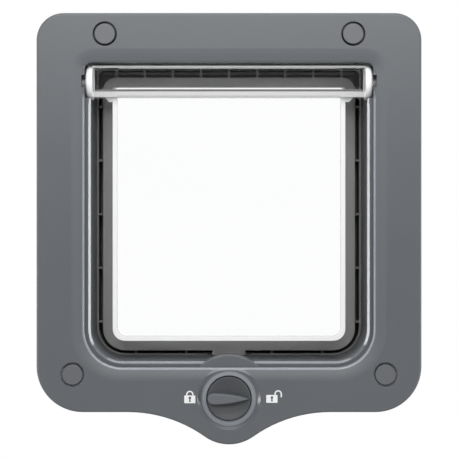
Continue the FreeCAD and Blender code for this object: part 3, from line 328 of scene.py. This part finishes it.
def clear_plastic(name):
    """Clear moulded plastic, cloudy in its end discs, and cloudy pale in its thick rim, web and the
    hinge bar's top edge as painted reflection and refraction, with thin grey lines of painted shade
    where the web meets the back wall and along the web's lower edge.
    """
    made, tree, shader = new_material(name)
    coords = tree.nodes.new("ShaderNodeTexCoord").outputs["Object"]
    x, y, z = split_axes(tree, coords)
    across = combined(tree, "ABSOLUTE", x)

    front = falling(tree, y, BAR_FRONT_Y, CLEAR_BLUR)
    between_ends = falling(tree, across, BAR_HALF, CLEAR_BLUR)
    ends = rising(tree, across, END_DISC_X, CLEAR_BLUR)
    rim = both(tree, outside_panel(tree, across, z), falling(tree, z, PANEL_TOP_Z, 0.0004))
    web = both(tree, front, falling(tree, z, WEB_TOP_Z, 0.0004))
    painted_crest_highlight = both(tree, rising(tree, z, CREST_Z, CLEAR_BLUR), falling(tree, y, CREST_BACK_Y, 0.001))
    painted_corner_shade = both(tree, rising(tree, y, CORNER_Y, CLEAR_BLUR), between_ends,
                  within_band(tree, z, *CORNER_Z, CLEAR_BLUR))
    painted_lower_edge_shade = both(tree, front, within_band(tree, z, *LOWER_EDGE_Z, CLEAR_BLUR),
                      falling(tree, across, LOWER_EDGE_HALF, CLEAR_BLUR))

    # Cloudy share: painted reflection and refraction in the rim, the web and the bar's top edge, painted
    # shade in the line where the web meets the back wall, and cloudy end discs.
    painted_milky_share = ends
    for zone in (rim, web, painted_crest_highlight, painted_corner_shade):
        painted_milky_share = combined(tree, "MAXIMUM", painted_milky_share, zone)
    cloud = spread(tree, noise(tree, coords, 12 * MM, 1), 0.88, 0.93)
    painted_milky_share = combined(tree, "MULTIPLY", painted_milky_share, cloud)
    tone = clear_tone(tree, coords)
    # Tones: the rim and web paler as painted reflection, the web's lower edge and the line where it
    # meets the back wall grey as painted shade.
    for zone, level in ((rim, 0.86), (both(tree, web, between_ends), 0.57), (painted_lower_edge_shade, 0.42),
                        (painted_corner_shade, 0.2)):
        tone = toned(tree, zone, tone, grey(level))
    tree.links.new(tone, shader.inputs["Base Color"])
    shader.inputs["IOR"].default_value = CLEAR_IOR
    shader.inputs["Specular Tint"].default_value = (0.4, 0.4, 0.4, 1)
    tree.links.new(combined(tree, "SUBTRACT", 1.0, painted_milky_share), shader.inputs["Transmission Weight"])
    gloss = spread(tree, noise(tree, coords, 40 * MM, 1), 0.01, 0.03)
    rough = combined(tree, "ADD", gloss, combined(tree, "MULTIPLY", painted_milky_share, 0.3))
    tree.links.new(rough, shader.inputs["Roughness"])
    return made


def zinc_steel(name):
    """Zinc plated steel with a crystalline mottle and fine turning marks."""
    made, tree, shader = new_material(name)
    coords = tree.nodes.new("ShaderNodeTexCoord").outputs["Object"]
    shader.inputs["Metallic"].default_value = 1.0
    spots = spread(tree, noise(tree, coords, 1.2 * MM, 3), 0, 1)
    tone = mixed(tree, spots, (0.52, 0.53, 0.54), (0.68, 0.69, 0.7))
    gloss = spread(tree, noise(tree, coords, 0.6 * MM), 0.25, 0.42)
    tree.links.new(tone, shader.inputs["Base Color"])
    tree.links.new(gloss, shader.inputs["Roughness"])
    return made


def printed_ink(name):
    """White pad-printed ink, slightly uneven."""
    made, tree, shader = new_material(name)
    coords = tree.nodes.new("ShaderNodeTexCoord").outputs["Object"]
    cover = spread(tree, noise(tree, coords, 0.8 * MM, 3), 0, 1)
    tree.links.new(mixed(tree, cover, grey(0.78), grey(0.84)), shader.inputs["Base Color"])
    shader.inputs["Roughness"].default_value = 0.5
    return made


LOOKS = {
    "frame_plastic": moulded_plastic(
        "frame_plastic", shade((90, 93, 97)), 0.32,
        # Painted shade in the cap grooves; painted highlights on the lip and the tunnel mouth's edge.
        tones=[(cap_gap, 0.1), (painted_lip_highlight, 2.6), (painted_mouth_highlight, 1.4)],
        glosses=[(roll, 0.45), (lip, 0.12), (mouth_edge, 0.12), (dish_slope, 0.22)]),
    "outer_plastic": moulded_plastic(
        "outer_plastic", shade((124, 124, 123)), 0.45, 0.9, 0.008,
        # Painted shade in the top cells, and a line of painted highlight in the channel.
        tones=[(painted_cell_shade, 0.22), (painted_channel_highlight, 1.5)]),
    "clear_plastic": clear_plastic("clear_plastic"),
    "knob_plastic": moulded_plastic(
        # Painted shade on the knob's scooped face.
        "knob_plastic", shade((92, 95, 99)), 0.55, tones=[(knob_face_shade, 0.5)]),
    "cap_plastic": moulded_plastic(
        # Painted shade on the caps' rounded edges.
        "cap_plastic", shade((94, 96, 100)), 0.34, tones=[(cap_edge_shade, 0.15)]),
    "inner_plastic": moulded_plastic("inner_plastic", shade((84, 84, 84)), 0.5),
    "steel": zinc_steel("steel"),
}

SLOT_OF = {s["node"]: s["material_slot"] for s in frame["record"]["subparts"]}
for name, node in frame["nodes"].items():
    node.data.materials.clear()
    node.data.materials.append(LOOKS[SLOT_OF[name]])

# Printed symbols, in mm

INK = printed_ink("white_ink")
FACE_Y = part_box("inner_frame")[0].y
INK_THICK = 0.06
INK_SUNK = 0.01
STROKE = 0.8
BODY_CORNER = 0.35
HOLE_RADIUS = 0.85
HOLE_FOOT_HALF = 0.62
ARC_STEPS = 14


def rounded_box(x0, x1, z0, z1, radius, steps=4):
    """A rectangle's outline with rounded corners."""
    corners = [(x1 - radius, z1 - radius, 0), (x0 + radius, z1 - radius, 90),
               (x0 + radius, z0 + radius, 180), (x1 - radius, z0 + radius, 270)]
    return [(cx + radius * math.cos(math.radians(a + 90 * i / steps)),
             cz + radius * math.sin(math.radians(a + 90 * i / steps)))
            for cx, cz, a in corners for i in range(steps + 1)]


def keyhole(x, z, foot):
    """A round hole with a slot that flares down to its foot."""
    half = math.radians(24)
    start, end = -math.pi / 2 + half, 1.5 * math.pi - half
    ring = [(x + HOLE_RADIUS * math.cos(start + (end - start) * i / ARC_STEPS),
             z + HOLE_RADIUS * math.sin(start + (end - start) * i / ARC_STEPS))
            for i in range(ARC_STEPS + 1)]
    return ring + [(x - HOLE_FOOT_HALF, foot), (x + HOLE_FOOT_HALF, foot)]


def band(points, width):
    """The outline of a stroke of this width along points."""
    left, right = [], []
    for i, p in enumerate(points):
        a = Vector(points[max(i - 1, 0)])
        b = Vector(points[min(i + 1, len(points) - 1)])
        d = (b - a).normalized() * (width / 2)
        left.append((p[0] - d.y, p[1] + d.x))
        right.append((p[0] + d.y, p[1] - d.x))
    return left + right[::-1]


def arch(x0, x1, foot0, foot1, top):
    """A shackle's middle line: up, round and down."""
    radius = (x1 - x0) / 2
    bend = [(x0 + radius - radius * math.cos(math.pi * i / ARC_STEPS),
             top - radius + radius * math.sin(math.pi * i / ARC_STEPS))
            for i in range(ARC_STEPS + 1)]
    return [(x0, foot0)] + bend + [(x1, foot1)]


def print_symbol(name, outlines):
    """Flat shapes in x and z, printed on the front face. An outline inside another is a hole."""
    flat = bpy.data.curves.new(name, "CURVE")
    flat.dimensions = "2D"
    flat.fill_mode = "BOTH"
    flat.extrude = INK_THICK / 2 * MM
    for outline in outlines:
        spline = flat.splines.new("POLY")
        spline.points.add(len(outline) - 1)
        spline.use_cyclic_u = True
        for point, (x, z) in zip(spline.points, outline):
            point.co = (x * MM, z * MM, 0, 1)
    loose = bpy.data.objects.new(name + "_outline", flat)
    mesh = bpy.data.meshes.new_from_object(loose)
    bpy.data.objects.remove(loose)
    mesh.name = name
    for v in mesh.vertices:
        v.co = (v.co.x, FACE_Y - v.co.z - INK_THICK / 2 * MM + INK_SUNK * MM, v.co.y)
    made = bpy.data.objects.new(name, mesh)
    mesh.materials.clear()
    mesh.materials.append(INK)
    bpy.context.scene.collection.objects.link(made)
    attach(made, "frame")


print_symbol("closed_padlock", [
    rounded_box(-27.4, -20.6, -116.15, -111.4, BODY_CORNER),
    keyhole(-23.97, -112.95, -115.35),
    band(arch(-25.85, -22.1, -111.45, -111.45, -108.95), STROKE),
])
print_symbol("open_padlock", [
    rounded_box(22.8, 29.7, -115.9, -111.1, BODY_CORNER),
    keyhole(26.25, -112.65, -115.05),
    band(arch(28.2, 32.0, -111.15, -112.5, -108.6), STROKE),
])

# Studio: strengths of the surroundings, and where they change along the view direction's y

WHITE = 1.0
FRONT = 0.44
BEHIND = 0.4
LENS_SIDE = 0.1
LENS_SIDE_Y = (-0.985, -0.88)
LIT_CHANGE_Y = (-0.25, 0.25)
MIRRORED_CHANGE_Y = (-0.1, 0.1)

FLOOR_Z = -0.27
FLOOR_MM = (-1600, 1600, -1600, 740)
FLOOR_CORNER_MM = 200
FLOOR_GLOW = 0.75


def light_path_sum(tree, *rays):
    """1 for rays of the named kinds, else 0."""
    path = tree.nodes.new("ShaderNodeLightPath")
    total = path.outputs[rays[0]]
    for ray in rays[1:]:
        total = combined(tree, "MAXIMUM", total, path.outputs[ray])
    return total


def add_world():
    """Even light from the front half of the room, dim round the camera; white where it is seen."""
    world = bpy.data.worlds.new("studio")
    world.use_nodes = True
    tree = world.node_tree
    back = tree.nodes["Background"]
    back.inputs["Color"].default_value = (1, 1, 1, 1)
    coords = tree.nodes.new("ShaderNodeTexCoord").outputs["Generated"]
    y = split_axes(tree, coords)[1]
    lens_side = ramp(tree, y, *LENS_SIDE_Y, LENS_SIDE, 1.0)
    lit = combined(tree, "MULTIPLY", ramp(tree, y, *LIT_CHANGE_Y, FRONT, BEHIND), lens_side)
    mirrored = combined(tree, "MULTIPLY", ramp(tree, y, *MIRRORED_CHANGE_Y, FRONT, WHITE), lens_side)
    light = chosen(tree, light_path_sum(tree, "Is Glossy Ray"), lit, mirrored)
    seen = light_path_sum(tree, "Is Camera Ray", "Is Transmission Ray")
    tree.links.new(chosen(tree, seen, light, WHITE), back.inputs["Strength"])
    bpy.context.scene.world = world


add_world()


def floor_material():
    """Pale and partly glowing where it is seen, dull in the light that it throws back."""
    made, tree, shader = new_material("pale_floor")
    coords = tree.nodes.new("ShaderNodeTexCoord").outputs["Object"]
    tone = spread(tree, noise(tree, coords, 0.4, 3), 0, 1)
    seen = light_path_sum(tree, "Is Camera Ray", "Is Glossy Ray", "Is Transmission Ray")
    pale = mixed(tree, tone, grey(0.78), grey(0.82))
    dull = combined(tree, "SUBTRACT", 1.0, seen)
    tree.links.new(toned(tree, dull, pale, grey(0.3)), shader.inputs["Base Color"])
    shader.inputs["Roughness"].default_value = 0.8
    glow = tree.nodes.new("ShaderNodeEmission")
    glow.inputs["Strength"].default_value = WHITE
    mix = tree.nodes.new("ShaderNodeMixShader")
    tree.links.new(combined(tree, "MULTIPLY", seen, FLOOR_GLOW), mix.inputs["Fac"])
    tree.links.new(shader.outputs["BSDF"], mix.inputs[1])
    tree.links.new(glow.outputs["Emission"], mix.inputs[2])
    tree.links.new(mix.outputs["Shader"], tree.nodes["Material Output"].inputs["Surface"])
    return made


def add_floor():
    """A pale floor below the hanging part, softly rounded at its corners."""
    outline = rounded_box(*FLOOR_MM, FLOOR_CORNER_MM, 8)
    bm = bmesh.new()
    bm.faces.new([bm.verts.new((x * MM, y * MM, FLOOR_Z)) for x, y in outline])
    mesh = bpy.data.meshes.new("floor")
    bm.to_mesh(mesh)
    bm.free()
    mesh.materials.append(floor_material())
    floor = bpy.data.objects.new("floor", mesh)
    bpy.context.scene.collection.objects.link(floor)


add_floor()


def soft_light(name, place, target, size, watts):
    """A rectangular lamp that the camera doesn't see."""
    lamp = bpy.data.lights.new(name, "AREA")
    lamp.shape = "RECTANGLE"
    lamp.size, lamp.size_y = size
    lamp.energy = watts
    made = bpy.data.objects.new(name, lamp)
    made.location = place
    aim = Vector(target) - Vector(place)
    made.rotation_euler = aim.to_track_quat("-Z", "Y").to_euler()
    made.visible_camera = False
    bpy.context.scene.collection.objects.link(made)


BOTH_SIDES = (("left", -1), ("right", 1))
soft_light("above_camera", (0.0, -1.5, 0.62), (0, 0, 0.05), (1.4, 0.6), 12)
soft_light("near_top", (0.0, -0.35, 0.42), (0, 0, 0.05), (0.5, 0.1), 1.1)
soft_light("top_strip", (0.0, -0.18, 1.0), (0, 0, 0), (0.9, 0.08), 1.2)
for name, side in BOTH_SIDES:
    soft_light(name + "_strip", (side, -0.18, 0.0), (0, 0, 0), (0.08, 0.9), 3.5)
for name, side in BOTH_SIDES:
    soft_light(name + "_front", (0.85 * side, -0.6, -0.19), (0, 0, -0.1), (0.08, 0.14), 1.1)

HALF_VIEW = 0.147579  # tangent of half the camera's angle of view
camera = bpy.data.cameras.new("camera")
camera.sensor_width = 36
camera.lens = camera.sensor_width / 2 / HALF_VIEW
view = bpy.data.objects.new("camera", camera)
view.location = (0, -0.962, -0.0095)
view.rotation_euler = (math.radians(90), 0, 0)
bpy.context.scene.collection.objects.link(view)
bpy.context.scene.camera = view

bpy.context.scene.view_settings.view_transform = "Standard"

bpy.context.view_layer.update()
